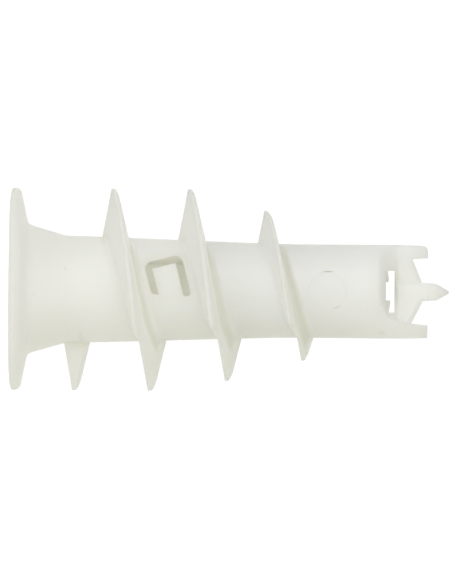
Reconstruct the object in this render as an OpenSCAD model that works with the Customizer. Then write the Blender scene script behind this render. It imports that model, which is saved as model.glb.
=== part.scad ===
// Self-drilling plasterboard anchor, moulded in one piece of nylon.
// It stands on its flange: the flange's outer face lies at z = 0, the axis is Z and
// the drill point is at the top. The mould parts in the XZ plane and opens along Y,
// so slits, openings and the flat faces of the drill tip run along Y.

/* [Overall] */

// Length from the flange's outer face to the drill point
anchor_length = 32; // [31:0.5:45]

// Diameter of the barrel where the neck ends
barrel_diameter = 7.74; // [7.4:0.02:8.4]

// Diameter of the straight part of the barrel, next to the drill tip
barrel_end_diameter = 6.76; // [6.4:0.02:7.3]

// Height at which the barrel's taper ends
taper_end_height = 20.8; // [18:0.1:22]

/* [Flange] */

// Diameter of the flange
flange_diameter = 14.74; // [13:0.02:18]

// Thickness of the flange's rim
rim_thickness = 0.9; // [0.7:0.02:1.3]

// Radius of the rim's rounded edges
rim_rounding = 0.3; // [0.1:0.01:0.33]

// Angle of the flange's underside to the flange's face
underside_angle = 12.2; // [5:0.1:20]

/* [Neck] */

// Diameter of the neck where it meets the flange's underside
neck_diameter = 9.36; // [8.8:0.02:10.6]

// Height at which the neck's cone runs into the barrel
neck_end_height = 4.1; // [3.6:0.1:4.6]

/* [Screw bore and driver recess] */

// Diameter of the screw bore
screw_bore_diameter = 4.2; // [3.6:0.1:4.6]

// Height at which the screw bore ends and narrows
screw_bore_end_height = 18; // [14:0.5:19]

// Diameter of the bore's narrow end
end_bore_diameter = 3.04; // [2.6:0.02:3.4]

// Diameter of the countersink at the flange's face
countersink_diameter = 6.4; // [5.4:0.1:7]

// Span of the cross recess at the flange's face
recess_span = 7.4; // [7.1:0.1:8]

// Span of the cross recess at its floor
recess_floor_span = 4.9; // [4.8:0.1:5.6]

// Depth of the cross recess
recess_depth = 5.2; // [3:0.1:6]

// Width of each slot of the cross recess
recess_slot_width = 1.3; // [0.9:0.05:1.6]

/* [Thread] */

// Thread pitch
thread_pitch = 5.55; // [5:0.05:6]

// Number of turns, each whole turn ending in the parting plane
thread_turns = 3; // [2:1:3]

// Height of the middle of the crest at the thread's start
thread_start_height = 4.74; // [4.7:0.02:5.4]

// Diameter over the thread's crest
thread_diameter = 14.7; // [13:0.1:16]

// Height above which the crest tapers
crest_taper_height = 13.2; // [9:0.1:16]

// Diameter over the crest at the thread's end
thread_end_diameter = 10.2; // [9:0.1:12]

// Width of the crest
crest_width = 0.4; // [0.3:0.02:0.5]

// Angle of the flank facing the flange, from a plane square to the axis
flange_side_flank_angle = 7; // [3:0.5:12]

// Angle of the flank facing the drill tip, from a plane square to the axis
tip_side_flank_angle = 8; // [3:0.5:12]

// Radius of the fillets at the thread's root
root_fillet = 0.35; // [0.2:0.05:0.45]

// Width taken off the crest where each half turn runs out into the parting plane
crest_relief = 0.13; // [0.05:0.01:0.2]

// Angle of the relieved flank there, from a plane square to the axis
relief_angle = 10.6; // [8:0.1:13]

/* [Tongues] */

// Height of the middle of the front tongue's hinge
hinge_height = 11.86; // [11.6:0.02:12.1]

// Width of each tongue
tongue_width = 1.8; // [1.4:0.05:2]

// Length of each tongue, from its free edge to its hinge
tongue_length = 2.2; // [1.8:0.05:2.6]

// Distance of the hinge from the axis, across the mould's opening direction
hinge_offset = 0.38; // [0.1:0.02:0.8]

// Width of the slit around each tongue
slit_width = 0.5; // [0.35:0.01:0.6]

// Angle by which each tongue leans with the thread
tongue_lean = 13.5; // [8:0.5:18]

// Distance by which the far tongue lies nearer to the flange than the front one
far_tongue_drop = 3.05; // [2.9:0.05:3.2]

/* [Drill tip] */

// Width of the drill point
point_width = 1.28; // [1:0.02:1.6]

// Height of the pointed end of the drill point
point_taper_length = 1; // [0.7:0.05:1.4]

// Distance from the drill point down to the ends of the two prongs
prong_setback = 1.58; // [1.2:0.02:2]

// Width of each prong, measured in from the barrel's surface
prong_width = 1; // [0.8:0.01:1.3]

// Distance from the drill point down to the inner ends of the cutting lips
lip_top_setback = 1.92; // [1.7:0.02:2.2]

// Distance from the drill point down to the outer ends of the cutting lips
lip_foot_setback = 2.7; // [2.4:0.02:3]

// Width of the bevel behind each cutting lip
lip_bevel_width = 0.36; // [0.2:0.02:0.5]

// Thickness of the blade between the prongs
blade_thickness = 1.06; // [0.9:0.02:1.2]

// Distance by which the blade's two halves are set off to opposite sides of the axis
blade_offset = 0.08; // [0:0.01:0.12]

// Distance from the drill point down to the edge of the blade
blade_setback = 3.96; // [3.7:0.02:4.2]

// Height of the see-through window below the blade
window_height = 0.64; // [0.5:0.02:1]

// Height over which the floor in front of the blade runs out to the barrel's surface
floor_runout_height = 1.05; // [0.8:0.05:1.4]

// Width by which the space in front of the blade narrows towards the window
throat_narrowing = 0.56; // [0.3:0.02:0.8]

// Width of the slot in which the bore ends
end_slot_width = 1.34; // [1:0.02:1.6]

// Length of the slot in which the bore ends
end_slot_length = 2.6; // [1.5:0.1:3]

/* [Mould marks] */

// Diameter of the ejector pin mark
pin_mark_diameter = 2.72; // [2:0.02:3]

// Height of the middle of the ejector pin mark
pin_mark_height = 23.1; // [23:0.1:24]

// Depth of the ejector pin mark
pin_mark_depth = 0.04; // [0.02:0.01:0.1]

/* [Hidden] */

$fn = 96;

cut_margin = 1;
nylon_color = [0.91, 0.91, 0.87];

flange_radius = flange_diameter / 2;
neck_radius = neck_diameter / 2;
barrel_radius = barrel_diameter / 2;
barrel_end_radius = barrel_end_diameter / 2;
screw_bore_radius = screw_bore_diameter / 2;
end_bore_radius = end_bore_diameter / 2;

// The underside runs from the rounded rim in to the neck.
underside_rise = (flange_radius - rim_rounding - neck_radius) * tan(underside_angle);
neck_start_height = rim_thickness + underside_rise;

prong_end_height = anchor_length - prong_setback;
blade_edge_height = anchor_length - blade_setback;
window_foot_height = blade_edge_height - window_height;
end_slot_start_height = window_foot_height - end_slot_length;
prong_inner_offset = barrel_end_radius - prong_width;
lip_width = prong_inner_offset - point_width / 2;
lip_slope = atan2(lip_foot_setback - lip_top_setback, lip_width);

// Radius of the outside of the neck and barrel at a height.
function outer_radius(height) =
    height < neck_end_height
    ? neck_radius + (barrel_radius - neck_radius)
        * (height - neck_start_height) / (neck_end_height - neck_start_height)
    : height < taper_end_height
    ? barrel_radius + (barrel_end_radius - barrel_radius)
        * (height - neck_end_height) / (taper_end_height - neck_end_height)
    : barrel_end_radius;

// Points of a quarter round about a centre, from one angle to another.
rounding_steps = 4;
function round_points(centre, radius, from_angle, to_angle) =
    [for (i = [0 : rounding_steps])
        let (angle = from_angle + (to_angle - from_angle) * i / rounding_steps)
        centre + radius * [cos(angle), sin(angle)]];

// Half of the outline of flange, neck and barrel, turned about the axis.
module outside_of_revolution() {
    rotate_extrude()
        polygon(concat(
            [[0, 0]],
            round_points([flange_radius - rim_rounding, rim_rounding],
                rim_rounding, -90, 0),
            round_points([flange_radius - rim_rounding, rim_thickness - rim_rounding],
                rim_rounding, 0, 90 - underside_angle),
            [
                [neck_radius, neck_start_height],
                [barrel_radius, neck_end_height],
                [barrel_end_radius, taper_end_height],
                [barrel_end_radius, prong_end_height],
                [0, prong_end_height]
            ]));
}

// The thread: one section, carried along the helix.
steps_per_turn = 60;
thread_sink = 0.3;
thread_steps = thread_turns * steps_per_turn;
thread_end_height = thread_start_height + thread_turns * thread_pitch;
crest_rounding = crest_width * 0.3;

// Radius of the crest at a height.
function crest_radius(height) =
    height < crest_taper_height
    ? thread_diameter / 2
    : thread_diameter / 2 + (thread_end_diameter - thread_diameter) / 2
        * (height - crest_taper_height) / (thread_end_height - crest_taper_height);

// One side of the section, from its foot inside the barrel up to the crest.
// Each point is [radius, distance from the middle of the crest].
fillet_angles = [25, 48, 72];
crest_corner_inset = crest_rounding * (1 - cos(45));
function side_points(foot_radius, top_radius, flank_angle) =
    let (
        flank_top = top_radius - crest_rounding,
        half_crest = crest_width / 2,
        flank_base = half_crest + (flank_top - foot_radius - root_fillet) * tan(flank_angle),
        fillet_centre = flank_base + root_fillet / cos(flank_angle),
        first = [
            foot_radius + root_fillet * (1 - cos(fillet_angles[0])),
            fillet_centre - root_fillet * sin(fillet_angles[0])
        ],
        drop = first[0] - foot_radius + thread_sink
    )
    concat(
        [[first[0] - drop, first[1] + drop / tan(fillet_angles[0])]],
        [for (angle = fillet_angles) [
            foot_radius + root_fillet * (1 - cos(angle)),
            fillet_centre - root_fillet * sin(angle)
        ]],
        [[flank_top, half_crest]],
        [[top_radius - crest_corner_inset, half_crest - crest_corner_inset]],
        [[top_radius, half_crest - crest_rounding]]);

// The whole section at one step, as points in space.
function section_points(i) =
    let (
        angle = 360 * i / steps_per_turn,
        height = thread_start_height + thread_pitch * i / steps_per_turn,
        foot = outer_radius(height),
        top = crest_radius(height),
        low_side = side_points(foot, top, flange_side_flank_angle),
        high_side = side_points(foot, top, tip_side_flank_angle),
        count = len(low_side)
    )
    concat(
        [for (p = low_side) [p[0] * cos(angle), p[0] * sin(angle), height - p[1]]],
        [for (k = [count - 1 : -1 : 0])
            let (p = high_side[k])
            [p[0] * cos(angle), p[0] * sin(angle), height + p[1]]]);

section_size = len(section_points(0));

module helix() {
    points = [for (i = [0 : thread_steps]) each section_points(i)];
    last = thread_steps * section_size;
    walls = [for (i = [0 : thread_steps - 1], j = [0 : section_size - 1])
        let (
            a = i * section_size + j,
            b = i * section_size + (j + 1) % section_size
        )
        each [[a, b, b + section_size], [a, b + section_size, a + section_size]]];
    start_cap = [for (j = [0 : section_size / 2 - 2])
        [j, section_size - 1 - j, section_size - 2 - j, j + 1]];
    end_cap = [for (j = [0 : section_size / 2 - 2])
        [last + j, last + j + 1, last + section_size - 2 - j, last + section_size - 1 - j]];
    polyhedron(points = points, faces = concat(walls, start_cap, end_cap));
}

// Each half of the mould has to draw off the thread along Y, so where a half turn
// runs out into the parting plane, the flank facing the flange is cut back along Y.
// The cut turns steeper at its knee, just inside the barrel's surface.
relief_knee = 0.94 * barrel_radius;
relief_foot = 0.62 * barrel_radius;
relief_foot_angle = 32;
module half_turn_relief(end_height) {
    crest = crest_radius(end_height);
    crest_edge = end_height - crest_width / 2 + crest_relief;
    knee_height = crest_edge - (crest - relief_knee) * tan(relief_angle);
    along_y(-crest - cut_margin, 0)
        polygon([
            [crest + cut_margin, crest_edge + cut_margin * tan(relief_angle)],
            [relief_knee, knee_height],
            [relief_foot, knee_height - (relief_knee - relief_foot) * tan(relief_foot_angle)],
            [relief_foot, end_height - thread_pitch / 2],
            [crest + cut_margin, end_height - thread_pitch / 2]
        ]);
}

module thread() {
    difference() {
        helix();
        for (i = [1 : 2 * thread_turns])
            rotate([0, 0, 180 * i])
                half_turn_relief(thread_start_height + thread_pitch * i / 2);
    }
}

// Screw bore, its narrow end and the slot in which it ends.
bore_cone_slope = 2;
module bore() {
    cone_height = bore_cone_slope * (screw_bore_radius - end_bore_radius);
    rotate_extrude()
        polygon([
            [0, -cut_margin],
            [countersink_diameter / 2 + cut_margin, -cut_margin],
            [screw_bore_radius, countersink_diameter / 2 - screw_bore_radius],
            [screw_bore_radius, screw_bore_end_height],
            [end_bore_radius, screw_bore_end_height + cone_height],
            [end_bore_radius, end_slot_start_height],
            [0, end_slot_start_height]
        ]);
    intersection() {
        cylinder(r = end_bore_radius, h = blade_edge_height - window_height / 2);
        translate([
            -end_slot_width / 2,
            -end_bore_diameter,
            end_slot_start_height - cut_margin
        ])
            cube([end_slot_width, 2 * end_bore_diameter, anchor_length]);
    }
}

// Cross recess for the driver: two crossed slots inside a cone.
module driver_recess() {
    slope = (recess_span - recess_floor_span) / 2 / recess_depth;
    intersection() {
        translate([0, 0, -cut_margin])
            cylinder(
                r1 = recess_span / 2 + slope * cut_margin,
                r2 = recess_floor_span / 2,
                h = recess_depth + cut_margin
            );
        for (turn = [45, 135])
            rotate([0, 0, turn])
                translate([-recess_span, -recess_slot_width / 2, -2 * cut_margin])
                    cube([2 * recess_span, recess_slot_width, recess_depth + 3 * cut_margin]);
    }
}

// Turns an outline drawn in X and Z into a solid along Y, between two Y values.
module along_y(from_y, to_y) {
    translate([0, to_y, 0])
        rotate([90, 0, 0])
            linear_extrude(to_y - from_y)
                children();
}

// Slit around the tongue on the front side. Its corners run round the tongue's corners.
module tongue_slit() {
    half_tongue = tongue_width / 2;
    along_y(-barrel_radius - cut_margin, -screw_bore_radius / 2)
        translate([hinge_offset, hinge_height])
            rotate(90 + tongue_lean)
                difference() {
                    union() {
                        translate([-half_tongue - slit_width, slit_width / 2])
                            square([tongue_width + 2 * slit_width, tongue_length - slit_width / 2]);
                        translate([-half_tongue, tongue_length])
                            square([tongue_width, slit_width]);
                        for (side = [-1, 1]) {
                            translate([side * half_tongue, tongue_length])
                                circle(r = slit_width);
                            translate([side * (half_tongue + slit_width / 2), slit_width / 2])
                                circle(d = slit_width);
                        }
                    }
                    translate([-half_tongue, -cut_margin])
                        square([tongue_width, tongue_length + cut_margin]);
                }
}

// Mark of an ejector pin on the front side of the barrel.
module pin_mark() {
    intersection() {
        translate([0, 0, pin_mark_height])
            rotate([90, 0, 0])
                cylinder(d = pin_mark_diameter, h = barrel_end_diameter);
        difference() {
            translate([0, 0, pin_mark_height - pin_mark_diameter])
                cylinder(r = barrel_radius, h = 2 * pin_mark_diameter);
            translate([0, 0, pin_mark_height - 2 * pin_mark_diameter])
                cylinder(r = barrel_end_radius - pin_mark_depth, h = 4 * pin_mark_diameter);
        }
    }
}

// Open space in front of the blade. It leaves one prong's wall standing on the front side
// and starts just below the window, so that no thin web is left between the two.
opening_foot_overlap = 0.08;
module blade_opening() {
    low = window_foot_height - opening_foot_overlap;
    intersection() {
        along_y(-barrel_radius - cut_margin, cut_margin)
            polygon([
                [-barrel_radius - cut_margin, low],
                [prong_inner_offset - throat_narrowing, low],
                [prong_inner_offset, anchor_length - lip_foot_setback],
                [prong_inner_offset, anchor_length + cut_margin],
                [-barrel_radius - cut_margin, anchor_length + cut_margin]
            ]);
        for (side = [-1, 1])
            rotate([90, 0, 90])
                translate([0, 0, (side - 1) * barrel_radius])
                    linear_extrude(2 * barrel_radius)
                        space_before_blade(blade_thickness / 2 + side * blade_offset, low);
    }
}

// Outline in Y and Z of the space in front of one half of the blade.
module space_before_blade(face_offset, low) {
    polygon([
        [-face_offset, low + floor_runout_height],
        [-face_offset, anchor_length + 2 * cut_margin],
        [-2 * barrel_radius, anchor_length + 2 * cut_margin],
        [-2 * barrel_radius, low - 2 * cut_margin],
        [-barrel_end_radius, low]
    ]);
}

// The two cutting lips slope up from the prongs to the drill point.
module lip_notches() {
    for (side = [-1, 1])
        along_y(-barrel_radius - cut_margin, barrel_radius + cut_margin)
            polygon([
                [side * prong_inner_offset, anchor_length - lip_foot_setback],
                [side * prong_inner_offset, anchor_length + cut_margin],
                [0, anchor_length + cut_margin],
                [0, anchor_length - lip_top_setback + point_width / 2 * tan(lip_slope)]
            ]);
}

// Bevel behind the cutting edge of one lip, on the front side of the blade.
module lip_bevel() {
    intersection() {
        translate([point_width / 2, -barrel_radius, blade_edge_height])
            cube([lip_width, 2 * barrel_radius, anchor_length]);
        translate([
            prong_inner_offset,
            -blade_thickness / 2 - blade_offset,
            anchor_length - lip_foot_setback
        ])
            rotate([0, lip_slope, 0])
                translate([-2 * lip_width, 0, -lip_bevel_width])
                    rotate([45, 0, 0])
                        translate([0, -barrel_radius, 0])
                            cube([4 * lip_width, 2 * barrel_radius, barrel_radius]);
    }
}

// Window through the foot of the blade.
module window() {
    translate([-end_bore_radius, -barrel_radius - cut_margin, window_foot_height])
        cube([end_bore_diameter, 2 * (barrel_radius + cut_margin), window_height]);
}

// Square drill point, which runs down the blade as a rib.
module drill_point() {
    half = point_width / 2;
    shoulder = anchor_length - point_taper_length;
    intersection() {
        along_y(-half, half)
            polygon([
                [-half, blade_edge_height],
                [half, blade_edge_height],
                [half, shoulder],
                [0, anchor_length],
                [-half, shoulder]
            ]);
        rotate([0, 0, 90])
            along_y(-half - cut_margin, half + cut_margin)
                polygon([
                    [-half, blade_edge_height - cut_margin],
                    [half, blade_edge_height - cut_margin],
                    [half, shoulder],
                    [0, anchor_length],
                    [-half, shoulder]
                ]);
    }
}

module anchor() {
    color(nylon_color)
        union() {
            difference() {
                union() {
                    outside_of_revolution();
                    thread();
                }
                bore();
                driver_recess();
                lip_notches();
                window();
                // The far tongue lies lower, where the thread leaves room for it.
                for (side = [0, 1])
                    rotate([0, 0, 180 * side]) {
                        translate([0, 0, -side * far_tongue_drop])
                            tongue_slit();
                        blade_opening();
                        lip_bevel();
                    }
                pin_mark();
            }
            drill_point();
        }
}

anchor();
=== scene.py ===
import math

import bmesh
import bpy
import numpy as np
from mathutils import Matrix, Vector


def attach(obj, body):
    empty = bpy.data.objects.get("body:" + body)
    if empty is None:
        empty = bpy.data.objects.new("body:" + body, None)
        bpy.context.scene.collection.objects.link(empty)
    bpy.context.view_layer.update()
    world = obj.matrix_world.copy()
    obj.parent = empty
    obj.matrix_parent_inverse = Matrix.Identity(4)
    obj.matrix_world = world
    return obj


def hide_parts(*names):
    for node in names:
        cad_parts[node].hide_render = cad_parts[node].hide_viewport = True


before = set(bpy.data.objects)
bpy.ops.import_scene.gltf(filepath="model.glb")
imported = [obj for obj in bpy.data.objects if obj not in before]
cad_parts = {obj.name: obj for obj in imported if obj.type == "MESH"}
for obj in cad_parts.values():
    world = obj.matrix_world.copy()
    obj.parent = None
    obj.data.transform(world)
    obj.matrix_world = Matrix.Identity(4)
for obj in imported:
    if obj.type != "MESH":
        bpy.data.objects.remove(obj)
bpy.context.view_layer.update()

MM = 0.001
TURN = 2 * math.pi

# Sizes are in mm and angles in radians. Z runs along the axis from the flange to the drill point. The mould
# parts in the plane XZ. The front, with the tongue and the pin mark, faces -Y.

# Flange and neck, as (radius, height)
PROFILE = [
    (0.0, 0.0), (2.2, 0.0), (3.3, 0.005), (4.6, 0.012), (5.7, 0.03), (6.2, 0.05), (6.6, 0.078),
    (6.9, 0.113), (7.12, 0.162), (7.26, 0.228), (7.335, 0.32), (7.355, 0.44), (7.34, 0.54),
    (7.28, 0.65), (7.23, 0.76), (7.11, 0.87), (6.96, 0.935), (6.66, 1.0), (5.88, 1.16),
    (5.3, 1.28), (4.95, 1.36), (4.80, 1.42), (4.715, 1.5), (4.58, 1.74), (4.41, 2.33),
    (4.2, 3.05), (3.985, 3.78), (3.91, 4.05), (3.875, 4.3), (3.857, 4.7),
]
FLAT_POINTS = 3
# Barrel, as (height, radius)
BARREL = [
    (4.7, 3.857), (5.5, 3.84), (6.54, 3.815), (8.7, 3.75), (11.77, 3.645), (14.4, 3.55), (17.58, 3.447),
    (19.8, 3.39), (21.5, 3.372), (24.0, 3.374), (27.0, 3.38), (28.5, 3.378), (29.3, 3.362), (30.0, 3.345),
    (30.44, 3.31),
]
BARREL_SIDES = 192
BARREL_FROM, BARREL_TO, BARREL_STEP = 5.0, 30.2, 0.5
TIP_END = 30.44
# Rounding of the tip's outer edge, as (inwards, down)
TIP_EDGE = [(0.01, 0.03), (0.04, 0.0)]
# Fine raised line where the two halves of the mould meet
SEAM_RIDGE = 0.02
SEAM_HALF_ANGLE = math.radians(0.45)
SEAM_LEAST_RADIUS = 3

# Thread. Its low side faces the flange, its high side the tip.
PITCH = 5.5
TURNS = 3
START = 4.76
END = START + PITCH * TURNS
# Above LEAD_FROM the thread runs ahead of the pitch by this share of the height.
LEAD = 0.0165
LEAD_FROM = 10.0
LEAD_EASE = (9.5, 11.5)
# Crest: radius before and at the end of the taper, and thickness on both sides of its middle
CREST = 7.35
CREST_END = 5.1
TAPER_FROM = 13.2
HALF_CREST = 0.2
START_HALF_CREST = 0.11
HIGH_HALF_CREST = 0.165
THINNER_AT_END = 0.075
LOW_SHARE = 0.6
CREST_ROUND = 0.15
FULL_ROUND_FROM = 0.3
CREST_SQUARENESS = 0.7
LEAST_CREST = 0.14
HALVINGS = 24
# Flanks: every half turn starts with a steeper low side.
LOW_SLOPE = math.tan(math.radians(7))
START_SLOPE = 0.175
START_FADE = math.radians(35)
HIGH_SLOPE = math.tan(math.radians(8))
STEEPER_AT_PARTING = 0.08
# The end of the thread is thicker and steeper on its high side, with a bevel beside the crest.
TAIL_TURNS = 0.3
TAIL_SLOPE = 0.31
TAIL_THICKER = 0.125
TAIL_BEVEL = 0.3
TAIL_BEVEL_WIDTH = 0.3
# Fillets at the root, and what they lose beside the parting plane. Both eases, and the growth of the high
# fillet as (amount, from, to), go by the cosine of the angle to the end of the half turn.
FILLET = 0.34
FILLET_LOSS = 0.28
FILLET_LOSS_EASE = (0.86, 1.0)
STEEPER_EASE = (0.5, 1.0)
FILLET_GROWTH = [(0.28, -0.35, 0.15), (0.3, 0.15, 1.05)]
FILLET_STEPS = [math.radians(a) for a in (4, 11, 20, 33, 48, 64, 80)]
FLANK_STEPS = [0.0, 0.06, 0.14, 0.24, 0.35, 0.47, 0.59, 0.71, 0.83, 0.92, 1.0]
CREST_STEPS = 7
# Mould relief: the plane that cuts the low side where a half turn ends
RELIEF_SLOPE = math.tan(math.radians(10.6))
RELIEF_ROOT_SLOPE = 0.62
RELIEF_RISE = 0.13
RELIEF_RISE_LOSS = 0.08
RELIEF_LOSS_EASE = (17, 20)
RELIEF_FROM_X = 1.9
RELIEF_KNEE_X = 3.67
KNEE_INSIDE = 0.02
RELIEF_ROOT = 0.12
RELIEF_ROOT_CUT = 0.4
RELIEF_BLEND = 0.05
# The thread is sunk into the barrel by SUNK and gets SUNK_WIDER on each side there. It rises at least
# LEAST_RISE from it.
SUNK = 0.3
SUNK_WIDER = 0.05
LEAST_RISE = 0.1
STEPS_PER_HALF = 84
HALF_TURN_GAP = math.radians(0.12)

# Bore, as (radius, height)
BORE = [
    (0.0, -1.0), (4.2, -1.0), (3.2, 0.0), (2.1, 1.1), (2.1, 18.0), (1.52, 19.16), (1.52, 24.8), (0.0, 24.8),
]
BORE_SIDES = 128
# Slots of the cross recess, as (height, reach, half width)
RECESS = [(-0.6, 3.84, 0.67), (0.0, 3.7, 0.65), (2.5, 3.1, 0.62), (5.0, 2.5, 0.6), (5.2, 2.3, 0.5)]
RECESS_TURNS = (math.radians(45), math.radians(135))

# Cuts along Y, as (X, Z) or (X, Z, corner radius)
TONGUE_SLIT = [
    (0.29, 10.41, 0.10), (-1.92, 9.79, 0.56), (-2.59, 12.52, 0.60), (0.44, 13.31, 0.27),
    (0.44, 12.72, 0.16), (-1.97, 12.13, 0.07), (-1.53, 10.42, 0.05), (0.34, 10.94, 0.04),
]
FAR_TONGUE_DROP = 3.05
BORE_SLOT = [(-0.67, 24.3), (0.62, 24.3), (0.62, 27.8), (-0.67, 27.8)]
WINDOW_NEAR = [(-1.52, 27.40, 0.05), (1.50, 27.40, 0.05), (1.50, 28.04, 0.03), (-1.52, 28.04, 0.03)]
WINDOW_FAR = [
    (-1.52, 27.56, 0.03), (-1.2, 27.585, 0.1), (-0.86, 27.635, 0.05), (-0.70, 27.56, 0.02),
    (-0.70, 27.40, 0.03), (0.58, 27.40, 0.04), (0.63, 27.46, 0.03), (0.63, 27.745, 0.02),
    (0.95, 27.725, 0.1), (1.3, 27.665, 0.1), (1.50, 27.63, 0.03), (1.50, 28.04, 0.03),
    (-1.52, 28.04, 0.03),
]
UPPER_NOTCH = [(-2.375, 29.33, 0.04), (-2.50, 31.0, 0), (-0.66, 31.0, 0), (-0.645, 30.05, 0.08)]
LOWER_NOTCH = [(0.66, 30.10, 0.08), (0.66, 31.0, 0), (2.46, 31.0, 0), (2.30, 29.27, 0.04)]
# Y in front of the barrel and behind it, and how far each cut reaches inside
FRONT, BEHIND = -5.0, 5.0
SLIT_TO = -1.0
BORE_SLOT_Y = (-1.4, 1.4)
WINDOW_NEAR_TO, WINDOW_FAR_FROM = -0.2, -0.3

# Opening in front of the blade: its wall beside the lower prong, as (Z, X), and its slanted floor
OPENING_WALL = [
    (26.6, 0.9), (27.0, 0.95), (27.2, 1.05), (27.31, 1.25), (27.40, 1.50), (27.52, 1.73), (27.66, 1.88),
    (28.04, 2.02), (28.6, 2.20), (29.28, 2.40), (31.5, 2.40),
]
# Its grid is finer where the floor and the blade's face bend.
OPENING_ROWS = [26.9] + [round(26.98 + 0.05 * i, 3) for i in range(30)]
OPENING_ROWS += [28.6, 28.9, 29.28, 29.6, 30.2, 31.5]
OPENING_COLUMNS = [-5.0, -3.6, -3.0, -2.4, -1.8, -1.4, -1.1]
OPENING_COLUMNS += [round(-0.8 + 0.05 * i, 3) for i in range(13)]
LAST_COLUMN = -0.2
TO_WALL = (0.8, 0.6, 0.4, 0.2, 0.1, 0.05, 0.0)
OPENING_FRONT = -6.0
OPENING_FLOOR_Z = (26.85, 28.35)
OPENING_FLOOR_CURVE = 0.8
OPENING_FROM_RADIUS = 3.41
WALL_FILLET = 0.12
WALL_FILLET_DEPTH = 0.1
# Front face of the blade: its Y beside the upper prong, and how much further forward the rest lies
BLADE_UPPER_Y = -0.38
BLADE_STEP = 0.27
BLADE_STEP_X = (-0.74, -0.30)

# Drill point, as (height, upper X, lower X, half depth, corner radius)
SPIKE = [
    (28.05, -0.64, 0.63, 0.60, 0.20), (29.5, -0.65, 0.63, 0.61, 0.20), (30.6, -0.65, 0.625, 0.61, 0.20),
    (30.84, -0.645, 0.625, 0.60, 0.20), (31.0, -0.61, 0.62, 0.585, 0.19), (31.1, -0.57, 0.60, 0.565, 0.18),
    (31.25, -0.50, 0.51, 0.50, 0.17), (31.5, -0.36, 0.37, 0.37, 0.14), (31.75, -0.215, 0.235, 0.23, 0.10),
    (31.9, -0.13, 0.15, 0.14, 0.07), (31.97, -0.075, 0.09, 0.08, 0.04), (31.995, -0.03, 0.04, 0.035, 0.015),
]
# Cutting edge of the lower lip, from the prong to the point, as (X, Z)
LIP_EDGE = ((2.36, 29.225), (0.52, 30.24))
# Bevel behind it, as (distance into the part, Y)
LIP_BEVEL = [(-0.3, -1.6), (-0.3, -0.22), (0.0, -0.36), (0.36, -0.7), (0.36, -1.6)]
# Rounded outer corner of the upper prong: an arc, and the points before and after it, as (X, Z)
CORNER_CENTRE = (-2.90, 30.14)
CORNER_RADII = (0.44, 0.30)
BEFORE_CORNER = [(-4.0, 29.9), (-3.36, 29.95)]
AFTER_CORNER = [(-2.6, 30.46), (-2.3, 30.7), (-4.0, 30.7)]

# Mark of the ejector pin: X, Z and radius, and the radius of the barrel that its mean depth is measured from
PIN_MARK = (-0.07, 23.16, 1.36)
PIN_BARREL = 3.387
PIN_DEPTH = 0.03
PIN_RINGS = 12
PIN_SIDES = 64

# Points of the finished mesh that lie closer than this are merged.
MERGE = 0.002
LEAST_EDGE = 0.0005
SHARP_ANGLE = math.radians(28)


def barrel_radius(z):
    heights, radii = zip(*BARREL)
    return float(np.interp(z, heights, radii))


def smooth(value, low, high):
    """0 at low, 1 at high, eased between and level beyond."""
    t = min(max((value - low) / (high - low), 0.0), 1.0)
    return t * t * (3 - 2 * t)


def soft_max(a, b, k):
    """The larger of two values, blended where they differ by less than k."""
    h = max(k - abs(a - b), 0.0) / k
    return max(a, b) + h * h * k * 0.25


# Mesh helpers
def make_object(name, points, faces):
    """A closed mesh from points in mm, with its faces turned outwards."""
    mesh = bpy.data.meshes.new(name)
    mesh.from_pydata([tuple(float(c) * MM for c in p) for p in points], [], faces)
    bm = bmesh.new()
    bm.from_mesh(mesh)
    bmesh.ops.recalc_face_normals(bm, faces=bm.faces)
    bm.to_mesh(mesh)
    bm.free()
    obj = bpy.data.objects.new(name, mesh)
    bpy.context.scene.collection.objects.link(obj)
    return obj


def loft(name, rings):
    """A closed form through rings of points. An end of one point is a pole, any other gets a flat cap."""
    points, faces, layers = [], [], []
    for ring in rings:
        layers.append(range(len(points), len(points) + len(ring)))
        points += ring
    count = max(len(ring) for ring in rings)
    for low, high in zip(layers, layers[1:]):
        for i in range(count):
            j = (i + 1) % count
            if len(low) == 1:
                faces.append((low[0], high[j], high[i]))
            elif len(high) == 1:
                faces.append((low[i], low[j], high[0]))
            else:
                faces.append((low[i], low[j], high[j], high[i]))
    for cap in (layers[0][::-1], layers[-1]):
        if len(cap) > 1:
            faces.append(tuple(cap))
    return make_object(name, points, faces)


def lathe(name, profile, angles, ridge=0.0):
    """Turns an outline that starts and ends on the axis. ridge lifts the two parting lines."""
    rings = []
    for r, z in profile:
        if r == 0:
            rings.append([(0, 0, z)])
            continue
        ring = []
        for a in angles:
            off_seam = min(abs(math.remainder(a, TURN)), abs(math.remainder(a - math.pi, TURN)))
            lift = ridge * max(0.0, 1 - off_seam / SEAM_HALF_ANGLE) if r > SEAM_LEAST_RADIUS else 0.0
            ring.append(((r + lift) * math.cos(a), (r + lift) * math.sin(a), z))
        rings.append(ring)
    return loft(name, rings)


def rounded(corners, steps=6):
    """Points of an outline whose corners (X, Z, radius) are rounded."""
    out = []
    count = len(corners)
    for i, (x, z, radius) in enumerate(corners):
        if radius == 0:
            out.append((x, z))
            continue
        here = Vector((x, z))
        back = (Vector(corners[i - 1][:2]) - here).normalized()
        on = (Vector(corners[(i + 1) % count][:2]) - here).normalized()
        half = 0.5 * back.angle(on)
        reach = radius / math.tan(half)
        centre = here + (back + on).normalized() * (radius / math.sin(half))
        start = here + back * reach - centre
        end = here + on * reach - centre
        sweep = start.angle_signed(end)
        for k in range(steps + 1):
            a = -sweep * k / steps
            out.append((centre.x + start.x * math.cos(a) - start.y * math.sin(a),
                        centre.y + start.x * math.sin(a) + start.y * math.cos(a)))
    return out


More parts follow.
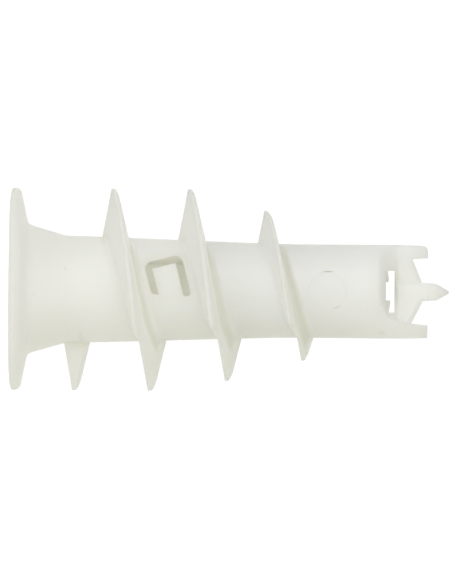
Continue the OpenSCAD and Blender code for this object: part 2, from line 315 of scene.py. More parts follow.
def prism(name, outline, y0=FRONT, y1=BEHIND):
    """A solid along Y from an outline in X and Z."""
    count = len(outline)
    points = [(x, y0, z) for x, z in outline] + [(x, y1, z) for x, z in outline]
    faces = [tuple(range(count)), tuple(range(2 * count - 1, count - 1, -1))]
    for i in range(count):
        j = (i + 1) % count
        faces.append((i, j, count + j, count + i))
    return make_object(name, points, faces)


def grid_block(name, top, bottom):
    """A closed block between two grids of points of the same size."""
    rows, cols = len(top), len(top[0])
    points = [p for row in top for p in row] + [p for row in bottom for p in row]
    base = rows * cols
    faces = []

    def at(layer, r, c):
        return layer * base + r * cols + c

    for r in range(rows - 1):
        for c in range(cols - 1):
            faces.append((at(0, r, c), at(0, r, c + 1), at(0, r + 1, c + 1), at(0, r + 1, c)))
            faces.append((at(1, r, c), at(1, r + 1, c), at(1, r + 1, c + 1), at(1, r, c + 1)))
    for r in range(rows - 1):
        for c in (0, cols - 1):
            faces.append((at(0, r, c), at(0, r + 1, c), at(1, r + 1, c), at(1, r, c)))
    for c in range(cols - 1):
        for r in (0, rows - 1):
            faces.append((at(0, r, c), at(0, r, c + 1), at(1, r, c + 1), at(1, r, c)))
    return make_object(name, points, faces)


def both_sides(obj, drop=0.0):
    """A cutter and its copy, turned half a turn about the axis and moved down by drop."""
    mesh = obj.data.copy()
    mesh.transform(Matrix.Translation((0, 0, -drop * MM)) @ Matrix.Rotation(math.pi, 4, "Z"))
    far = bpy.data.objects.new(obj.name + "_far", mesh)
    bpy.context.scene.collection.objects.link(far)
    return obj, far


def combine(target, tool, operation):
    """Applies one exact union or difference and removes the tool."""
    modifier = target.modifiers.new(operation, "BOOLEAN")
    modifier.operation = operation
    modifier.solver = "MANIFOLD"
    modifier.object = tool
    graph = bpy.context.evaluated_depsgraph_get()
    result = bpy.data.meshes.new_from_object(target.evaluated_get(graph))
    if len(result.polygons) < 50:
        raise RuntimeError(f"{operation} with {tool.name} left {len(result.polygons)} faces")
    target.modifiers.clear()
    old = target.data
    target.data = result
    bpy.data.meshes.remove(old)
    bpy.data.objects.remove(tool)


def cut(target, *tools):
    for tool in tools:
        combine(target, tool, "DIFFERENCE")


# Body
def round_angles(count):
    """Even angles round the axis, with a few more beside the two parting lines."""
    angles = []
    for i in range(count):
        a = TURN * i / count
        if i % (count // 2) == 0:
            angles += [a - SEAM_HALF_ANGLE, a, a + SEAM_HALF_ANGLE]
        else:
            angles.append(a)
    return sorted(a % TURN for a in angles)


def curve_point(p0, p1, p2, p3, t):
    """A point between p1 and p2 on the smooth curve through all four."""
    return tuple(0.5 * (2 * p1 + (p2 - p0) * t + (2 * p0 - 5 * p1 + 4 * p2 - p3) * t * t
                        + (3 * p1 - p0 - 3 * p2 + p3) * t ** 3))


def body_profile():
    """Outline of flange, neck and barrel. The rim and the neck get one more point between each two."""
    points = PROFILE[:]
    for z in [*np.arange(BARREL_FROM, BARREL_TO, BARREL_STEP), BARREL_TO]:
        points.append((barrel_radius(z), float(z)))
    for inwards, down in TIP_EDGE:
        points.append((barrel_radius(TIP_END) - inwards, TIP_END - down))
    points.append((0.0, TIP_END))
    last = len(PROFILE) - 1
    out = points[:FLAT_POINTS]
    for i in range(FLAT_POINTS, last):
        four = [np.array(points[j]) for j in (i - 1, i, i + 1, i + 2)]
        out += [curve_point(*four, 0), curve_point(*four, 0.5)]
    return out + points[last:]


# Thread
def crest_height(angle):
    """Height of the middle of the crest. From the second turn on it runs slightly ahead of the pitch."""
    z = START + PITCH * angle / TURN
    return z + LEAD * max(0.0, z - LEAD_FROM) * smooth(z, *LEAD_EASE)


def crest_radius(z):
    if z < TAPER_FROM:
        return CREST
    return CREST + (CREST_END - CREST) * (z - TAPER_FROM) / (END - TAPER_FROM)


def mould_relief(angle, end_angle):
    """Gives the height of the relief plane against the radius, at one angle of a half turn."""
    to_end = math.cos(angle - end_angle) if end_angle - angle < math.pi / 2 else 0.0
    centre = crest_height(end_angle)
    crest = crest_radius(centre)
    edge = centre - HALF_CREST + RELIEF_RISE - RELIEF_RISE_LOSS * smooth(centre, *RELIEF_LOSS_EASE)
    knee = min(RELIEF_KNEE_X, barrel_radius(centre) - KNEE_INSIDE)

    def height(r):
        x = r * to_end
        if x < RELIEF_FROM_X:
            return -math.inf
        if x > knee:
            return edge - (crest - x) * RELIEF_SLOPE
        return edge - (crest - knee) * RELIEF_SLOPE - (knee - x) * RELIEF_ROOT_SLOPE

    return height


def section(angle, end_angle):
    """The thread's outline at one angle, as (radius, height), from the low side round to the high side."""
    centre = crest_height(angle)
    foot = barrel_radius(centre)
    flank_top = crest_radius(centre) - CREST_ROUND
    relief = mould_relief(angle, end_angle)

    # Both fillets are sharp at the parting plane. The high one grows where the half turn runs out.
    toward_end = math.cos(angle - end_angle)
    beside_parting = smooth(abs(toward_end), *FILLET_LOSS_EASE)
    grow = sum(amount * smooth(toward_end, *ease) for amount, *ease in FILLET_GROWTH)
    low_fillet = FILLET - FILLET_LOSS * beside_parting
    high_fillet = FILLET + grow - (FILLET_LOSS + grow) * beside_parting

    thin = THINNER_AT_END * smooth(centre, TAPER_FROM, END)
    from_start = smooth(angle - (end_angle - math.pi), 0.0, START_FADE)
    to_tail = smooth(angle, TURN * (TURNS - TAIL_TURNS), TURN * TURNS)
    low_half = START_HALF_CREST + (HALF_CREST - START_HALF_CREST) * from_start - LOW_SHARE * thin
    low_slope = START_SLOPE + (LOW_SLOPE - START_SLOPE) * from_start
    high_half = HIGH_HALF_CREST - (1 - LOW_SHARE) * thin + TAIL_THICKER * to_tail
    high_slope = HIGH_SLOPE + STEEPER_AT_PARTING * smooth(abs(toward_end), *STEEPER_EASE)
    high_slope += (TAIL_SLOPE - high_slope) * to_tail
    bevel = TAIL_BEVEL * to_tail

    def low(r, fillet_drop=0.0):
        flank = centre - low_half - (flank_top - r) * low_slope - fillet_drop
        into_root = min(RELIEF_ROOT, max(0.0, RELIEF_ROOT - (r - foot)))
        return soft_max(flank, relief(r) - RELIEF_ROOT_CUT * into_root, RELIEF_BLEND)

    def high(r, fillet_rise=0.0):
        beveled = bevel * max(0.0, r - flank_top + TAIL_BEVEL_WIDTH)
        return centre + high_half + (flank_top - r) * high_slope + fillet_rise - beveled

    def thickness(r):
        return high(r) - low(r)

    # Where the relief leaves no crest, the section ends lower down.
    ridge = flank_top
    if thickness(ridge) < LEAST_CREST:
        thick, too_thin = foot + LEAST_RISE, flank_top
        for _ in range(HALVINGS):
            ridge = (thick + too_thin) / 2
            if thickness(ridge) < LEAST_CREST:
                too_thin = ridge
            else:
                thick = ridge
    crest_round = CREST_ROUND * min(1.0, thickness(ridge) / FULL_ROUND_FROM)

    def side(height, fillet):
        """One side from the barrel to the crest, with its foot kept flush with the tapered barrel."""
        points = []
        for a in FILLET_STEPS:
            r = foot + fillet * (1 - math.cos(a))
            z = height(r, fillet * (1 - math.sin(a)))
            points.append((r + (barrel_radius(z) - foot) * (1 - 2 * a / math.pi), z))
        base = foot + fillet
        for share in FLANK_STEPS:
            r = base + (ridge - base) * share
            points.append((r, height(r)))
        return points

    side_low, side_high = side(low, low_fillet), side(high, high_fillet)
    sunk_low = (foot - SUNK, side_low[0][1] - SUNK_WIDER)
    sunk_high = (foot - SUNK, side_high[0][1] + SUNK_WIDER)
    low_edge, high_edge = side_low[-1][1], side_high[-1][1]
    middle, width = (low_edge + high_edge) / 2, high_edge - low_edge
    crest = []
    for k in range(1, CREST_STEPS):
        a = math.pi * k / CREST_STEPS
        out = math.sin(a) ** CREST_SQUARENESS
        along = math.copysign(abs(math.cos(a)) ** CREST_SQUARENESS, math.cos(a))
        crest.append((ridge + crest_round * out, middle - along * width / 2))
    return [sunk_low] + side_low + crest + side_high[::-1] + [sunk_high]


def thread():
    """The thread as one closed form, with a short step where one half turn passes into the next."""
    halves = 2 * TURNS
    rings = []
    for half in range(halves):
        end = math.pi * (half + 1)
        start = math.pi * half + (HALF_TURN_GAP if half else 0.0)
        stop = end - (HALF_TURN_GAP if half < halves - 1 else 0.0)
        for i in range(STEPS_PER_HALF + 1):
            a = start + (stop - start) * i / STEPS_PER_HALF
            rings.append([(r * math.cos(a), r * math.sin(a), z) for r, z in section(a, end)])
    return loft("thread_form", rings)


# Cuts
def bore():
    return lathe("bore_cut", BORE, [TURN * i / BORE_SIDES for i in range(BORE_SIDES)])


def recess_slot(turn):
    """One slot of the cross recess, narrower at its floor and with ends that follow a cone."""
    c, s = math.cos(turn), math.sin(turn)
    rings = []
    for z, reach, half in RECESS:
        ring = []
        for side in (1, -1):
            for k in range(9):
                y = half * (k / 4 - 1)
                x = math.sqrt(reach * reach - y * y)
                ring.append((side * x * c - side * y * s, side * x * s + side * y * c, z))
        rings.append(ring)
    return loft("recess_cut", rings)


def tongue_slit():
    """U-shaped slit round the tongue, through the front wall."""
    return prism("slit_cut", rounded(TONGUE_SLIT), FRONT, SLIT_TO)


def blade_opening():
    """Space in front of the blade, above a slanted floor, up to the near wall of the lower prong."""
    wall_z, wall_x = zip(*OPENING_WALL)
    front, back = [], []
    for z in OPENING_ROWS:
        wall = float(np.interp(z, wall_z, wall_x))
        xs = OPENING_COLUMNS + [wall - (wall - LAST_COLUMN) * share for share in TO_WALL]
        sunk = smooth(z, *OPENING_FLOOR_Z) ** OPENING_FLOOR_CURVE
        line = []
        for x in xs:
            face = BLADE_UPPER_Y - BLADE_STEP * smooth(x, *BLADE_STEP_X)
            if x > wall - WALL_FILLET:
                face -= WALL_FILLET_DEPTH * ((x - wall + WALL_FILLET) / WALL_FILLET) ** 2
            skin = -math.sqrt(max(OPENING_FROM_RADIUS ** 2 - x * x, face * face))
            line.append((x, skin + (face - skin) * sunk, z))
        back.append(line)
        front.append([(x, OPENING_FRONT, z) for x in xs])
    return grid_block("opening_cut", front, back)


def drill_end_cuts():
    """The slot in which the bore ends, the see-through window above it, and the notches beside the point."""
    return [
        prism("slot_cut", BORE_SLOT, *BORE_SLOT_Y),
        prism("window_near_cut", rounded(WINDOW_NEAR, 3), FRONT, WINDOW_NEAR_TO),
        prism("window_far_cut", rounded(WINDOW_FAR, 3), WINDOW_FAR_FROM, BEHIND),
        prism("upper_notch_cut", rounded(UPPER_NOTCH, 4)),
        prism("lower_notch_cut", rounded(LOWER_NOTCH, 4)),
    ]


def lip_bevel():
    """Bevel behind the cutting edge of the lower lip, on the front side."""
    ends = [Vector(end) for end in LIP_EDGE]
    along = (ends[1] - ends[0]).normalized()
    inward = Vector((-along.y, along.x))
    rings = []
    for end in ends:
        places = [(end + inward * distance, y) for distance, y in LIP_BEVEL]
        rings.append([(place.x, y, place.y) for place, y in places])
    return loft("bevel_cut", rings)


def prong_corner():
    """Rounded outer corner of the upper prong."""
    (x, z), (wide, high) = CORNER_CENTRE, CORNER_RADII
    arc = []
    for k in range(9):
        a = math.radians(180 - 90 * k / 8)
        arc.append((x + wide * math.cos(a), z + high * math.sin(a)))
    return prism("corner_cut", BEFORE_CORNER + arc + AFTER_CORNER)


def spike():
    """Drill point: a bar with rounded edges that runs out to a blunt point."""
    rings = []
    for z, up, down, depth, radius in SPIKE:
        ring = []
        for cx, cy, a0 in ((down - radius, depth - radius, 0), (up + radius, depth - radius, 90),
                           (up + radius, radius - depth, 180), (down - radius, radius - depth, 270)):
            for k in range(6):
                a = math.radians(a0 + 18 * k)
                ring.append((cx + radius * math.cos(a), cy + radius * math.sin(a), z))
        rings.append(ring)
    return loft("spike_form", rings)


def pin_mark():
    """Shallow round mark of the ejector pin on the front of the barrel, deepest at its upper edge."""
    centre_x, centre_z, radius = PIN_MARK

    def disc(depth_at):
        """Rings of one side of the cutter, from its middle to its edge."""
        rings = [[(centre_x, depth_at(centre_x), centre_z)]]
        for step in range(1, PIN_RINGS + 1):
            ring = []
            for k in range(PIN_SIDES):
                a = TURN * k / PIN_SIDES
                x = centre_x + radius * step / PIN_RINGS * math.cos(a)
                ring.append((x, depth_at(x), centre_z + radius * step / PIN_RINGS * math.sin(a)))
            rings.append(ring)
        return rings

    def floor_y(x):
        depth = PIN_DEPTH - PIN_DEPTH * (x - centre_x) / radius
        return -math.sqrt((PIN_BARREL - depth) ** 2 - x * x)

    return loft("pin_cut", disc(lambda x: FRONT) + disc(floor_y)[::-1])


def build_anchor():
    anchor = lathe("anchor_moulding", body_profile(), round_angles(BARREL_SIDES), SEAM_RIDGE)
    combine(anchor, thread(), "UNION")
    cut(anchor, bore())
    for turn in RECESS_TURNS:
        cut(anchor, recess_slot(turn))
    cut(anchor, *both_sides(tongue_slit(), FAR_TONGUE_DROP))
    cut(anchor, *both_sides(blade_opening()))
    cut(anchor, *drill_end_cuts())
    cut(anchor, *both_sides(lip_bevel()))
    cut(anchor, prong_corner())
    combine(anchor, spike(), "UNION")
    cut(anchor, pin_mark())
    return anchor


def finish_shading(obj):
    """Smooth faces, with sharp edges where two faces meet at more than SHARP_ANGLE."""
    bm = bmesh.new()
    bm.from_mesh(obj.data)
    bmesh.ops.remove_doubles(bm, verts=bm.verts, dist=MERGE * MM)
    bmesh.ops.dissolve_degenerate(bm, edges=bm.edges, dist=LEAST_EDGE * MM)
    # Merging points can drop a narrow face, so its hole is closed again.
    bmesh.ops.holes_fill(bm, edges=[edge for edge in bm.edges if edge.is_boundary])
    for face in bm.faces:
        face.smooth = True
    for edge in bm.edges:
        edge.smooth = not (len(edge.link_faces) == 2 and edge.calc_face_angle(0) > SHARP_ANGLE)
    bm.to_mesh(obj.data)
    bm.free()


anchor = build_anchor()
finish_shading(anchor)


# Node helpers
class Nodes:
    """Short forms for building one node tree. A value is a number or the output of another node."""

    def __init__(self, tree):
        tree.nodes.clear()
        self.new, self.link = tree.nodes.new, tree.links.new

    def math(self, operation, *values):
        node = self.new("ShaderNodeMath")
        node.operation = operation
        for socket, value in zip(node.inputs, values):
            if isinstance(value, (int, float)):
                socket.default_value = value
            else:
                self.link(value, socket)
        return node.outputs["Value"]

    def product(self, first, *others):
        for other in others:
            first = self.math("MULTIPLY", first, other)
        return first

    def add_shares(self, total, shares):
        """Adds each amount times its strength to the total."""
        for amount, strength in shares:
            total = self.math("MULTIPLY_ADD", amount, strength, total)
        return total

    def length(self, a, b):
        return self.math("SQRT", self.math("ADD", self.product(a, a), self.product(b, b)))

    def axes(self, vector):
        node = self.new("ShaderNodeSeparateXYZ")
        self.link(vector, node.inputs["Vector"])
        return {axis: node.outputs[axis] for axis in "XYZ"}

    def fade(self, value, low, high):
        """0 at low, 1 at high, eased between."""
        node = self.new("ShaderNodeMapRange")
        node.interpolation_type = "SMOOTHSTEP"
        self.link(value, node.inputs["Value"])
        node.inputs["From Min"].default_value = low
        node.inputs["From Max"].default_value = high
        return node.outputs["Result"]

    def fade_mm(self, value, low, high):
        return self.fade(value, low * MM, high * MM)

    def noise(self, vector, scale, detail):
        node = self.new("ShaderNodeTexNoise")
        node.inputs["Scale"].default_value = scale
        node.inputs["Detail"].default_value = detail
        self.link(vector, node.inputs["Vector"])
        return node.outputs["Fac"]

    def bump(self, height, normal, strength, distance):
        node = self.new("ShaderNodeBump")
        node.inputs["Strength"].default_value = strength
        node.inputs["Distance"].default_value = distance * MM
        self.link(height, node.inputs["Height"])
        self.link(normal, node.inputs["Normal"])
        return node.outputs["Normal"]


# Material
# Colour of the nylon between two ends of a slow noise, and how deep light spreads in it
COLOURS = ((0.3, (0.9996, 0.9996, 0.974, 1)), (0.72, (1.0, 1.0, 0.982, 1)))
SPREAD = (6.0, 5.8, 5.0)
ROUGHNESS = (0.34, 0.46)
EDGE_ROUNDING = 0.06
# Noises, as (scale, detail), and the strength and depth in mm of the two that make bumps
TONE = (260, 3)
RIPPLE, RIPPLE_BUMP = (900, 4), (0.35, 0.05)
GRAIN, GRAIN_BUMP = (2600, 5), (0.25, 0.02)
# Strength of each shade, where 1 is black. Blue loses a little more than red and green.
ROOT_SHADE = 0.09
ROOT_SHADE_FACING_TIP = 0.15
FOOT_SHADE = 0.23
END_SHADE = 0.05
LOWER_THREAD_SHADE = 0.14
SEAM_SHADE = 0.05
PIN_SHADE = 0.035
BLUE_SHADE = 1.2
MOST_SHADE = 0.6
MOST_BLUE_SHADE = 0.7
# Where each shade lies, in mm. A pair is a fade, as (none, full). A root is as open as ROOT_OPENNESS, and a
# slit is less open.
OUTSIDE_RADIUS = 3.25
ROOT_REACH = 1.6
ROOT_OPENNESS = (0.84, 0.56)
SLIT_OPENNESS = (0.28, 0.42)
ROOT_Z = (3.6, 5.2)
FACING_TIP = (-0.05, 0.3)
FOOT_PAST_CREST = 0.62
FOOT_OFF_LINE = (0.62, 0.04)
FOOT_RADIUS = (4.9, 4.1)
FOOT_START_Z = (5.0, 5.6)
FOOT_END_Z = (22.6, 22.0)
FOOT_OFF_PARTING = (0.1, 1.7)
NECK_END_Z = (9.5, 7.0)
TIP_END_Z = (20.0, 23.0)
LOWER_THREAD_RADIUS = (3.7, 4.6)
LOWER_THREAD_X = (-1.5, 5.0)
LOWER_THREAD_Z = (9.5, 11.5)
SEAM_Y = (0.09, 0.02)
PIN_OFF_RING = (0.07, 0.01)
PIN_RIPPLE = (0.35, 0.6)
PIN_FRONT_Y = -2.5
MARK_EDGE = (0.0, 0.7)
# Small dark spots: middle, half sizes, turn about Y in degrees, and how dark the spot is
MARKS_AND_PAINTED_SHADE = [
    # Dark specks on the neck and barrel
    ((-1.518, -3.65, 4.092), (0.05, 0.4, 0.05), 0, 0.40),
    ((0.388, -4.45, 1.891), (0.05, 0.4, 0.05), 0, 0.34),
    ((1.861, -2.85, 21.125), (0.05, 0.5, 0.05), 0, 0.34),
    # Painted shadow along the upper and lower edges of the pin's mark
    ((-1.43, -3.1, 23.22), (0.05, 0.5, 0.55), 0, 0.42),
    ((1.16, -3.2, 23.85), (0.05, 0.5, 0.50), -24, 0.20),
    # Painted shade inside the opening in front of the blade
    ((-2.25, -1.4, 28.16), (0.30, 1.2, 0.12), 0, 0.10),
    ((2.98, -1.4, 27.12), (0.20, 1.0, 0.45), 0, 0.06),
    # Small dark spots at the prong's corner and at the thread's crests, on the parting line
    ((3.25, -0.1, 30.46), (0.10, 0.5, 0.08), 0, 0.45),
    ((-7.34, -0.2, 7.78), (0.16, 0.5, 0.10), 0, 0.40),
    ((7.33, -0.1, 10.45), (0.08, 0.6, 0.16), 0, 0.30),
    ((6.40, -0.3, 15.97), (0.20, 0.6, 0.07), 0, 0.30),
    ((4.62, -0.3, 21.76), (0.48, 0.9, 0.09), -24, 0.22),
]


def root_shade(nodes, coords, z):
    """Shade in the roots of the thread, deeper where the surface faces the tip."""
    corner = nodes.new("ShaderNodeAmbientOcclusion")
    corner.samples = 16
    corner.only_local = True
    corner.inputs["Distance"].default_value = ROOT_REACH * MM
    openness = corner.outputs["AO"]
    # What is far more closed in than a root, such as a slit, is left as it is.
    in_corner = nodes.product(nodes.fade(openness, *ROOT_OPENNESS), nodes.fade(openness, *SLIT_OPENNESS))
    faces_tip = nodes.fade(nodes.axes(coords.outputs["Normal"])["Z"], *FACING_TIP)
    strength = nodes.math("MULTIPLY_ADD", faces_tip, ROOT_SHADE_FACING_TIP, ROOT_SHADE)
    return nodes.product(in_corner, nodes.fade_mm(z, *ROOT_Z), strength)


def painted_foot_shade(nodes, x, y, z, radius):
    """Painted shade: a soft dark line along the thread, just past its foot on the high side."""
    ahead = nodes.product(nodes.math("MAXIMUM", nodes.math("SUBTRACT", z, LEAD_FROM * MM), 0.0), LEAD)
    climbed = nodes.math("SUBTRACT", nodes.math("SUBTRACT", z, ahead), START * MM)
    turned = nodes.math("DIVIDE", nodes.math("ARCTAN2", y, x), TURN)
    past_crest = nodes.math("SUBTRACT", nodes.math("DIVIDE", climbed, PITCH * MM), turned)
    past_crest = nodes.product(nodes.math("WRAP", past_crest, 0.5, -0.5), PITCH * MM)
    off_line = nodes.math("ABSOLUTE", nodes.math("SUBTRACT", past_crest, FOOT_PAST_CREST * MM))
    return nodes.product(
        nodes.fade_mm(off_line, *FOOT_OFF_LINE),
        nodes.fade_mm(radius, *FOOT_RADIUS),
        nodes.fade_mm(z, *FOOT_START_Z),
        nodes.fade_mm(z, *FOOT_END_Z),
        nodes.fade_mm(nodes.math("ABSOLUTE", y), *FOOT_OFF_PARTING))


def dark_spot(nodes, coords, middle, half_sizes, turn):
    """1 in the middle of a small dark spot, fading to 0 at its edge."""
    place = nodes.new("ShaderNodeMapping")
    place.vector_type = "TEXTURE"
    place.inputs["Location"].default_value = [c * MM for c in middle]
    place.inputs["Rotation"].default_value = (0, math.radians(turn), 0)
    place.inputs["Scale"].default_value = [s * MM for s in half_sizes]
    nodes.link(coords.outputs["Object"], place.inputs["Vector"])
    ball = nodes.new("ShaderNodeTexGradient")
    ball.gradient_type = "SPHERICAL"
    nodes.link(place.outputs["Vector"], ball.inputs["Vector"])
    return nodes.fade(ball.outputs["Fac"], *MARK_EDGE)


def pin_edge_shadow(nodes, x, y, z, ripple):
    """Painted shadow along the edge of the ejector pin's mark, broken up by the ripple."""
    centre_x, centre_z, mark_radius = PIN_MARK
    apart = nodes.length(nodes.math("SUBTRACT", x, centre_x * MM), nodes.math("SUBTRACT", z, centre_z * MM))
    off_ring = nodes.math("ABSOLUTE", nodes.math("SUBTRACT", apart, mark_radius * MM))
    front = nodes.math("LESS_THAN", y, PIN_FRONT_Y * MM)
    return nodes.product(nodes.fade_mm(off_ring, *PIN_OFF_RING), front, nodes.fade(ripple, *PIN_RIPPLE))


def nylon():
    """Milky nylon, with painted soft shade, small dark spots, a fine ripple and slightly rounded edges."""
    material = bpy.data.materials.new("nylon_natural")
    material.use_nodes = True
    nodes = Nodes(material.node_tree)
    new, link = nodes.new, nodes.link
    out = new("ShaderNodeOutputMaterial")
    shader = new("ShaderNodeBsdfPrincipled")
    link(shader.outputs["BSDF"], out.inputs["Surface"])
    shader.inputs["Subsurface Weight"].default_value = 1.0
    shader.inputs["Subsurface Scale"].default_value = MM
    shader.inputs["Subsurface Radius"].default_value = SPREAD
    shader.inputs["Subsurface Anisotropy"].default_value = 0.0
    shader.inputs["IOR"].default_value = 1.45
    shader.inputs["Specular IOR Level"].default_value = 0.4

    coords = new("ShaderNodeTexCoord")
    place = coords.outputs["Object"]
    x, y, z = nodes.axes(place).values()
    radius = nodes.length(x, y)
    outside = nodes.math("GREATER_THAN", radius, OUTSIDE_RADIUS * MM)
    ripple = nodes.noise(place, *RIPPLE)
    grain = nodes.noise(place, *GRAIN)

    # Shade on the outside: the thread's roots and foot, both ends, and the thread's +X side.
    lower_thread = nodes.product(
        nodes.fade_mm(radius, *LOWER_THREAD_RADIUS),
        nodes.fade_mm(x, *LOWER_THREAD_X),
        nodes.fade_mm(z, *LOWER_THREAD_Z))
    shade = nodes.add_shares(root_shade(nodes, coords, z), [
        (painted_foot_shade(nodes, x, y, z, radius), FOOT_SHADE),
        (nodes.fade_mm(z, *NECK_END_Z), END_SHADE),
        (nodes.fade_mm(z, *TIP_END_Z), END_SHADE),
        (lower_thread, LOWER_THREAD_SHADE),
    ])
    shade = nodes.product(shade, outside)
    # Small dark spots, some of them painted shade, then painted shade along the parting line and painted
    # shadow along the edge of the pin's mark.
    shade = nodes.add_shares(shade, [
        (dark_spot(nodes, coords, middle, half_sizes, turn), darkness)
        for middle, half_sizes, turn, darkness in MARKS_AND_PAINTED_SHADE])
    parting_shade = nodes.fade_mm(nodes.math("ABSOLUTE", y), *SEAM_Y)
    shade = nodes.add_shares(shade, [
        (nodes.product(parting_shade, outside), SEAM_SHADE),
        (pin_edge_shadow(nodes, x, y, z, ripple), PIN_SHADE),
    ])

    ramp = new("ShaderNodeValToRGB")
    for element, (position, colour) in zip(ramp.color_ramp.elements, COLOURS):
        element.position = position
        element.color = colour
    link(nodes.noise(place, *TONE), ramp.inputs["Fac"])
    keep = nodes.math("SUBTRACT", 1.0, nodes.math("MINIMUM", shade, MOST_SHADE))
    blue_shade = nodes.math("MINIMUM", nodes.product(shade, BLUE_SHADE), MOST_BLUE_SHADE)
    keep_blue = nodes.math("SUBTRACT", 1.0, blue_shade)
    kept = new("ShaderNodeCombineXYZ")
    for socket, value in zip(kept.inputs, (keep, keep, keep_blue)):
        link(value, socket)
    shaded = new("ShaderNodeVectorMath")
    shaded.operation = "MULTIPLY"
    link(ramp.outputs["Color"], shaded.inputs[0])
    link(kept.outputs["Vector"], shaded.inputs[1])
    link(shaded.outputs["Vector"], shader.inputs["Base Color"])

    rough_range = new("ShaderNodeMapRange")
    rough_range.inputs["To Min"].default_value, rough_range.inputs["To Max"].default_value = ROUGHNESS
    link(ripple, rough_range.inputs["Value"])
    link(rough_range.outputs["Result"], shader.inputs["Roughness"])
    bevel = new("ShaderNodeBevel")
    bevel.samples = 4
    bevel.inputs["Radius"].default_value = EDGE_ROUNDING * MM
    waves = nodes.bump(ripple, bevel.outputs["Normal"], *RIPPLE_BUMP)
    link(nodes.bump(grain, waves, *GRAIN_BUMP), shader.inputs["Normal"])
    return material


plastic = nylon()
# The Booleans leave an empty material slot.
anchor.data.materials.clear()
anchor.data.materials.append(plastic)
cad_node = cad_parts["anchor"]
cad_node.data.materials.clear()
cad_node.data.materials.append(plastic)
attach(anchor, "root")
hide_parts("anchor")


# Floor, light, camera
FLOOR_RADIUS = 55
FLOOR_SIDES = 96
FLOOR_GREY = 0.25
FLOOR_TINT = (1, 1, 0.92, 1)
# Glow of the floor on the anchor and towards the camera, and of the space behind it towards the camera
FLOOR_GLOW = (0.6, 1.15)
SEEN_WHITE = 1.05
# A light tent: strength of the soft panel on each side of the anchor, and its share of blue
PANELS = {
    "+X": (0.66, 0.83), "-X": (0.51, 0.98), "+Y": (1.005, 0.93), "-Y": (1.055, 0.93), "+Z": (0.33, 0.84),
}
# Lamps, with places and sizes in metres: place, size, power, colour
LAMPS = {
    "key_high": ((-0.30, -0.22, 0.016), 0.22, 0.085, (0.9, 0.9, 1.0)),
    "key_front": ((-0.24, -0.29, 0.016), 0.10, 0.105, (0.9, 0.9, 1.0)),
    "fill_front": ((-0.125, -0.587, 0.016), 0.36, 0.36, (1.0, 1.0, 0.97)),
}
LAMP_TARGET = Vector((0, 0, 0.016))
BOUNCES = 32
# The photograph: its size and scale, the row of the anchor's axis, and the Z that one column shows. Its right
# is +Z and its bottom is +X, with a small roll.
WIDTH_PX, HEIGHT_PX = 452, 584
PX_PER_MM = 13.766
AXIS_ROW = 290.2
COLUMN, COLUMN_Z = 226, 15.836
ROLL = math.radians(0.46)
# Distance of the camera in metres, and the width of its sensor
DISTANCE = 1.5
SENSOR = 36


def floor_disc():
    """A pale floor that the camera sees as plain white."""
    points = [(0, 0, 0)]
    for k in range(FLOOR_SIDES):
        a = TURN * k / FLOOR_SIDES
        points.append((FLOOR_RADIUS * math.cos(a), FLOOR_RADIUS * math.sin(a), 0))
    mesh = bpy.data.meshes.new("floor")
    mesh.from_pydata([tuple(c * MM for c in p) for p in points], [],
                     [(0, 1 + k, 1 + (k + 1) % FLOOR_SIDES) for k in range(FLOOR_SIDES)])
    obj = bpy.data.objects.new("floor", mesh)
    bpy.context.scene.collection.objects.link(obj)
    material = bpy.data.materials.new("floor_white")
    material.use_nodes = True
    tree = material.node_tree
    shader = tree.nodes["Principled BSDF"]
    shader.inputs["Base Color"].default_value = (FLOOR_GREY, FLOOR_GREY, FLOOR_GREY, 1)
    shader.inputs["Roughness"].default_value = 1.0
    shader.inputs["Specular IOR Level"].default_value = 0.0
    shader.inputs["Emission Color"].default_value = FLOOR_TINT
    path = tree.nodes.new("ShaderNodeLightPath")
    glow = tree.nodes.new("ShaderNodeMapRange")
    glow.inputs["To Min"].default_value, glow.inputs["To Max"].default_value = FLOOR_GLOW
    tree.links.new(path.outputs["Is Camera Ray"], glow.inputs["Value"])
    tree.links.new(glow.outputs["Result"], shader.inputs["Emission Strength"])
    obj.data.materials.append(material)


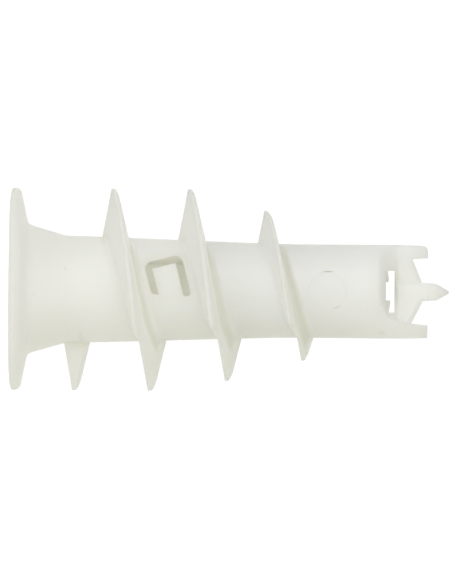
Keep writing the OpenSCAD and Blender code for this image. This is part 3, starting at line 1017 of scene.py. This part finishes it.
def light_tent():
    """Lights the anchor with soft panels, while the camera sees plain white behind it."""
    world = bpy.data.worlds.new("studio")
    bpy.context.scene.world = world
    world.use_nodes = True
    nodes = Nodes(world.node_tree)
    new, link = nodes.new, nodes.link
    axes = nodes.axes(new("ShaderNodeTexCoord").outputs["Generated"])
    white, blue = 0, 0
    for side, (strength, blue_share) in PANELS.items():
        sign = 1 if side[0] == "+" else -1
        facing = nodes.math("MAXIMUM", nodes.product(axes[side[1]], sign), 0)
        panel = nodes.product(nodes.math("POWER", facing, 2), strength)
        white = nodes.math("ADD", panel, white)
        blue = nodes.math("ADD", nodes.product(panel, blue_share), blue)
    sky = new("ShaderNodeCombineColor")
    for channel, value in (("Red", white), ("Green", white), ("Blue", blue)):
        link(value, sky.inputs[channel])
    around = new("ShaderNodeBackground")
    link(sky.outputs["Color"], around.inputs["Color"])
    seen = new("ShaderNodeBackground")
    seen.inputs["Color"].default_value = (1, 1, 1, 1)
    seen.inputs["Strength"].default_value = SEEN_WHITE
    mix = new("ShaderNodeMixShader")
    link(new("ShaderNodeLightPath").outputs["Is Camera Ray"], mix.inputs["Fac"])
    link(around.outputs["Background"], mix.inputs[1])
    link(seen.outputs["Background"], mix.inputs[2])
    link(mix.outputs["Shader"], new("ShaderNodeOutputWorld").inputs["Surface"])


def softbox(name, place, size, power, colour):
    light = bpy.data.lights.new(name, "AREA")
    light.shape = "DISK"
    light.size = size
    light.energy = power
    light.color = colour
    obj = bpy.data.objects.new(name, light)
    obj.location = place
    obj.rotation_euler = (LAMP_TARGET - Vector(place)).to_track_quat("-Z", "Y").to_euler()
    bpy.context.scene.collection.objects.link(obj)


def add_camera():
    """A long lens, far away, framed as the photograph is."""
    data = bpy.data.cameras.new("camera")
    data.sensor_width = SENSOR
    data.sensor_fit = "AUTO"
    data.lens = SENSOR * DISTANCE / (HEIGHT_PX / PX_PER_MM * MM)
    data.clip_end = 50
    camera = bpy.data.objects.new("camera", data)
    right = Vector((-math.sin(ROLL), 0, math.cos(ROLL)))
    down = Vector((math.cos(ROLL), 0, math.sin(ROLL)))
    back = Vector((0, -1, 0))
    below_axis = (HEIGHT_PX - 1) / 2 - AXIS_ROW
    past_column = (WIDTH_PX - 1) / 2 - COLUMN
    aim = Vector((0, 0, COLUMN_Z * MM))
    aim += down * (below_axis / PX_PER_MM * MM) + right * (past_column / PX_PER_MM * MM)
    place = aim + back * DISTANCE
    camera.matrix_world = Matrix((
        (right.x, -down.x, back.x, place.x),
        (right.y, -down.y, back.y, place.y),
        (right.z, -down.z, back.z, place.z),
        (0, 0, 0, 1)))
    bpy.context.scene.collection.objects.link(camera)
    bpy.context.scene.camera = camera


floor_disc()
light_tent()
for name, lamp in LAMPS.items():
    softbox(name, *lamp)
add_camera()

scene = bpy.context.scene
scene.cycles.max_bounces = BOUNCES
scene.cycles.diffuse_bounces = BOUNCES
scene.cycles.glossy_bounces = BOUNCES
scene.cycles.transmission_bounces = BOUNCES
scene.view_settings.view_transform = "Standard"
scene.view_settings.look = "None"
scene.view_settings.exposure = 0
scene.view_settings.gamma = 1

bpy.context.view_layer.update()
